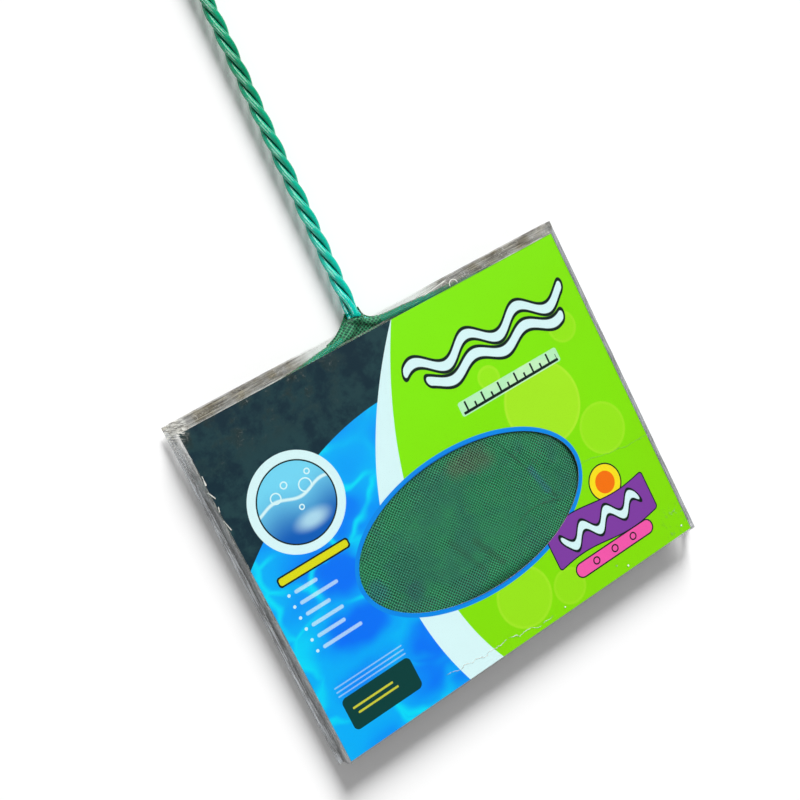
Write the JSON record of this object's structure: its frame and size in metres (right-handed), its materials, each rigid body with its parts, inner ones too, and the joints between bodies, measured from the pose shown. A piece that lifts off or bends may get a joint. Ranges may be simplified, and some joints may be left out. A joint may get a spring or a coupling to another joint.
{
  "type": "aquarium fish net",
  "caption": "Aquarium dip net with a coated wire handle twisted from three strands and a folded mesh bag, packed under a printed card with an oval window in a clear open pouch.",
  "frame": {"origin": "centre of the pouch's back face, on the plane that the pack lies on", "axes": "+Y up the handle towards the hanging eye, +Z out of the printed side of the card, +X to the right as the print is read"},
  "size_m": [0.22, 0.4752, 0.0096],
  "materials": {
    "wire_coating": "glossy green vinyl",
    "wire_core": "drawn steel wire",
    "ferrule": "crimped sleeve",
    "hem_mesh": "fine knitted nylon, folded",
    "bag_mesh": "fine knitted nylon",
    "card": "gloss coated print",
    "film": "clear film"
  },
  "bodies": {
    "net": {"hanging_eye": "wire_coating", "eye_core": "wire_core", "strand_left": "wire_coating", "strand_right": "wire_coating", "strand_return": "wire_coating", "strand_core_left": "wire_core", "strand_core_right": "wire_core", "strand_core_return": "wire_core", "hoop_left": "wire_coating", "hoop_right": "wire_coating", "hoop_core_left": "wire_core", "hoop_core_right": "wire_core", "hoop_ferrule": "ferrule", "hem_left": "hem_mesh", "hem_right": "hem_mesh", "neck_web": "hem_mesh", "bag_front": "bag_mesh", "bag_back": "bag_mesh", "bag_gusset_left": "bag_mesh", "bag_gusset_right": "bag_mesh", "bag_seam": "bag_mesh"},
    "pouch": {"pouch_front": "film", "pouch_back": "film", "pouch_seam_left": "film", "pouch_seam_right": "film", "pouch_fold": "film"},
    "card": {"printed_card": "card"}
  },
  "joints": [
    {"name": "pouch_slide", "type": "slide", "parent": "net", "child": "pouch", "axis": [0, -1, 0], "range_m": [0, 0.18]},
    {"name": "card_slide", "type": "slide", "parent": "pouch", "child": "card", "axis": [0, 1, 0], "range_m": [0, 0.175]}
  ]
}
